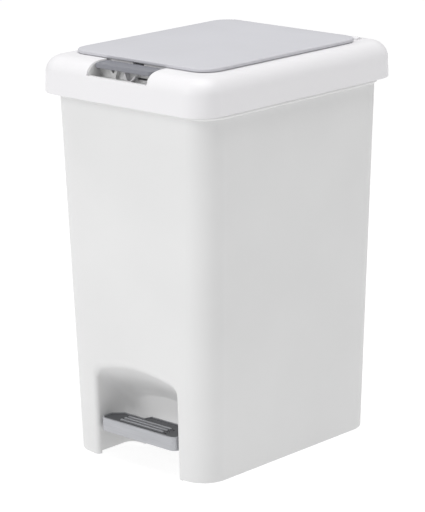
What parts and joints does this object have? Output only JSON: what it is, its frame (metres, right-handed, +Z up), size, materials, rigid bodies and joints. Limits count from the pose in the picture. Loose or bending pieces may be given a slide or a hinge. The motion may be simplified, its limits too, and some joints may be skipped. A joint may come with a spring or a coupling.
{
  "type": "pedal trash can",
  "caption": "Rectangular pedal trash can with a lid frame lifted by a foot pedal through a push rod, and a hinged inner lid released by a front press button.",
  "frame": {"origin": "middle of the base, on the floor", "axes": "+Z up, -Y towards the pedal and button (front), +X to the right seen from the front-left, so the lid hinges are at +Y"},
  "size_m": [0.2244, 0.2879, 0.4073],
  "materials": {
    "white_body": "fine matte moulded polypropylene, off-white",
    "white_ring": "smooth satin moulded plastic, white",
    "grey_lid": "matte moulded plastic, pale cool grey",
    "grey_button": "satin slate-grey plastic",
    "grey_housing": "moulded grey plastic",
    "silver": "satin silver lacquer on plastic, brushed look",
    "dark_pad": "fine textured dark grey",
    "black_plastic": "moulded black plastic",
    "steel": "zinc-plated steel"
  },
  "bodies": {
    "bin": {"bin_body": "white_body", "pedal_axle": "steel", "axle_clip_left": "black_plastic", "axle_clip_right": "black_plastic", "axle_screw_left_front": "steel", "axle_screw_left_rear": "steel", "axle_screw_right_front": "steel", "axle_screw_right_rear": "steel", "rod_cover": "white_body", "cover_screw_left_lower": "steel", "cover_screw_right_lower": "steel", "cover_screw_left_upper": "steel", "cover_screw_right_upper": "steel", "rod_guide_lower": "black_plastic", "rod_guide_upper": "black_plastic", "lid_hinge_pin_left": "steel", "lid_hinge_pin_right": "steel"},
    "pedal": {"pedal_cover": "silver", "pedal_pad": "dark_pad", "pedal_lever": "black_plastic", "lever_bush_left": "white_ring", "lever_bush_right": "white_ring", "pedal_screw_left": "steel", "pedal_screw_right": "steel"},
    "push_rod_body": {"push_rod": "steel", "rod_head": "black_plastic", "rod_shoe": "black_plastic"},
    "lid_frame": {"lid_ring": "white_ring", "latch_housing": "grey_housing", "housing_screw_left": "steel", "housing_screw_right": "steel", "button_pin": "steel", "button_spring": "white_ring", "flap_pin_left": "steel", "flap_spring_left": "steel", "flap_pin_right": "steel", "flap_spring_right": "steel"},
    "inner_lid": {"lid_panel": "grey_lid", "lid_liner": "white_ring", "lid_catch": "grey_housing", "liner_screw_front_left": "steel", "liner_screw_front_right": "steel", "liner_screw_rear_left": "steel", "liner_screw_rear_right": "steel"},
    "latch_button": {"press_button": "grey_button"}
  },
  "joints": [
    {"name": "lid_lift", "type": "hinge", "parent": "bin", "child": "lid_frame", "pos_m": [0, 0.1343, 0.388], "axis": [-1, 0, 0], "range_deg": [0, 78]},
    {"name": "rod_lift", "type": "slide", "parent": "bin", "child": "push_rod_body", "axis": [0, 0, 1], "range_m": [0, 0.0242]},
    {"name": "pedal_press", "type": "hinge", "parent": "bin", "child": "pedal", "pos_m": [0, -0.005, 0.022], "axis": [1, 0, 0], "range_deg": [0, 11]},
    {"name": "inner_lid_hinge", "type": "hinge", "parent": "lid_frame", "child": "inner_lid", "pos_m": [0, 0.115, 0.4008], "axis": [-1, 0, 0], "range_deg": [0, 95]},
    {"name": "button_press", "type": "hinge", "parent": "lid_frame", "child": "latch_button", "pos_m": [0, -0.1145, 0.3933], "axis": [1, 0, 0], "range_deg": [0, 10], "stiffness_Nm_per_rad": 0.3, "springref_deg": -8.59, "deforming": ["button_spring"]}
  ],
  "couplings": [
    {"joint": "rod_lift", "follows": "lid_lift", "m_per_rad": 0.017629},
    {"joint": "pedal_press", "follows": "lid_lift", "ratio": 0.13846}
  ]
}
